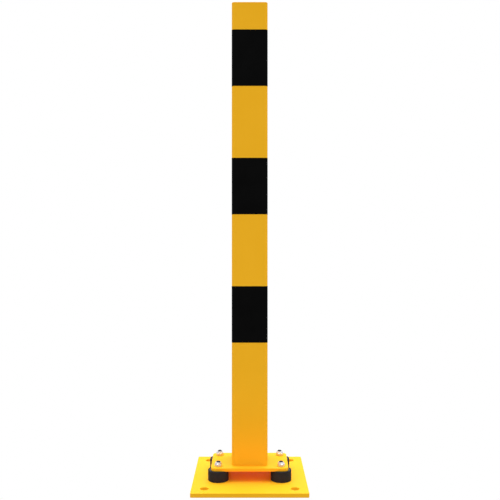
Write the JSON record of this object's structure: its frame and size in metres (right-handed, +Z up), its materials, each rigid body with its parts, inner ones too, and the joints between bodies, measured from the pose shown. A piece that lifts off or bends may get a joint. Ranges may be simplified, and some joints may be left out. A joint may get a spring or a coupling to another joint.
{
  "type": "steel safety bollard",
  "caption": "Square steel post with black bands, on a flange plate that tilts a little on round rubber buffers above a square bolt-down floor plate.",
  "frame": {"origin": "centre of the floor plate's underside", "axes": "+Z up along the post, X along the flange plate's long side, -Y towards the front"},
  "size_m": [0.22, 0.22, 0.938],
  "materials": {
    "yellow_powder_coat": "satin",
    "black_film": "satin",
    "black_rubber": "matte",
    "zinc_plated_steel": "satin",
    "dark_steel": "satin",
    "white_nylon": "satin"
  },
  "bodies": {
    "floor_base": {"floor_plate": "yellow_powder_coat", "lower_disc_front_left": "zinc_plated_steel", "lower_disc_front_right": "zinc_plated_steel", "lower_disc_rear_left": "zinc_plated_steel", "lower_disc_rear_right": "zinc_plated_steel", "countersunk_screw_front_left": "zinc_plated_steel", "countersunk_screw_front_right": "zinc_plated_steel", "countersunk_screw_rear_left": "zinc_plated_steel", "countersunk_screw_rear_right": "zinc_plated_steel"},
    "buffers": {"rubber_buffer_front_left": "black_rubber", "rubber_buffer_front_right": "black_rubber", "rubber_buffer_rear_left": "black_rubber", "rubber_buffer_rear_right": "black_rubber"},
    "post": {"flange_plate": "yellow_powder_coat", "post_tube": "yellow_powder_coat", "post_cap": "yellow_powder_coat", "foot_weld": "yellow_powder_coat", "band_lower": "black_film", "band_middle": "black_film", "band_upper": "black_film", "stud_disc_front_left": "dark_steel", "stud_disc_front_right": "dark_steel", "stud_disc_rear_left": "dark_steel", "stud_disc_rear_right": "dark_steel", "lock_nut_front_left": "zinc_plated_steel", "lock_nut_front_right": "zinc_plated_steel", "lock_nut_rear_left": "zinc_plated_steel", "lock_nut_rear_right": "zinc_plated_steel", "nylon_ring_front_left": "white_nylon", "nylon_ring_front_right": "white_nylon", "nylon_ring_rear_left": "white_nylon", "nylon_ring_rear_right": "white_nylon"}
  },
  "joints": [
    {"name": "tilt_fore_aft", "type": "hinge", "parent": "floor_base", "child": "buffers", "pos_m": [0, 0, 0.01825], "axis": [1, 0, 0], "range_deg": [-5, 5], "stiffness_Nm_per_rad": 1470, "deforming": ["rubber_buffer_front_left", "rubber_buffer_front_right", "rubber_buffer_rear_left", "rubber_buffer_rear_right"]},
    {"name": "tilt_sideways", "type": "hinge", "parent": "buffers", "child": "post", "pos_m": [0, 0, 0.01825], "axis": [0, 1, 0], "range_deg": [-3, 3], "stiffness_Nm_per_rad": 4460, "deforming": ["rubber_buffer_front_left", "rubber_buffer_front_right", "rubber_buffer_rear_left", "rubber_buffer_rear_right"]}
  ]
}
